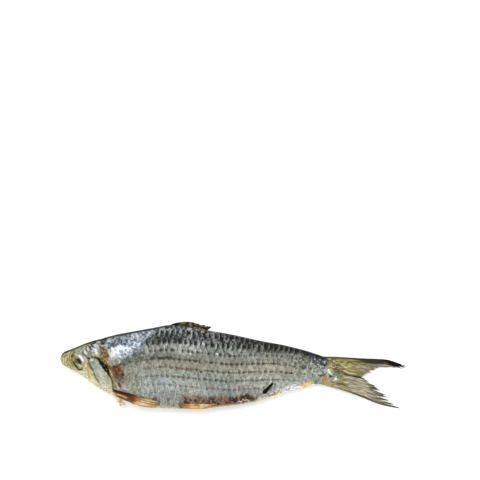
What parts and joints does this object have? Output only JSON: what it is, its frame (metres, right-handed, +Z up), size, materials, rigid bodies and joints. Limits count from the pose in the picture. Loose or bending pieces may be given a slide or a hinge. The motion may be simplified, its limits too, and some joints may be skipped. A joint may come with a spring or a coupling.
{
  "type": "dried salted fish",
  "caption": "Small whole fish, salted and air-dried, lying on its side with a shrunken head, an open gill slit, pressed fins and a ragged forked tail.",
  "frame": {"origin": "bottom centre of the fish's bounding box, on the surface that the fish lies on", "axes": "+X from snout to tail, +Y from belly to back, +Z up from the resting side to the shown side"},
  "size_m": [0.155, 0.039, 0.0105],
  "materials": {
    "dried_skin": "dry silvery grey-green scaly skin with a dark back and a pale belly edge, dull satin",
    "fins": "dry olive-brown fin rays with darker tips, slightly translucent web",
    "eye": "sunken dried eye, dark and glossy",
    "flesh": "dark red-brown dried flesh in the gill slit and under the belly"
  },
  "bodies": {
    "root": {"fish": "dried_skin"}
  },
  "joints": []
}
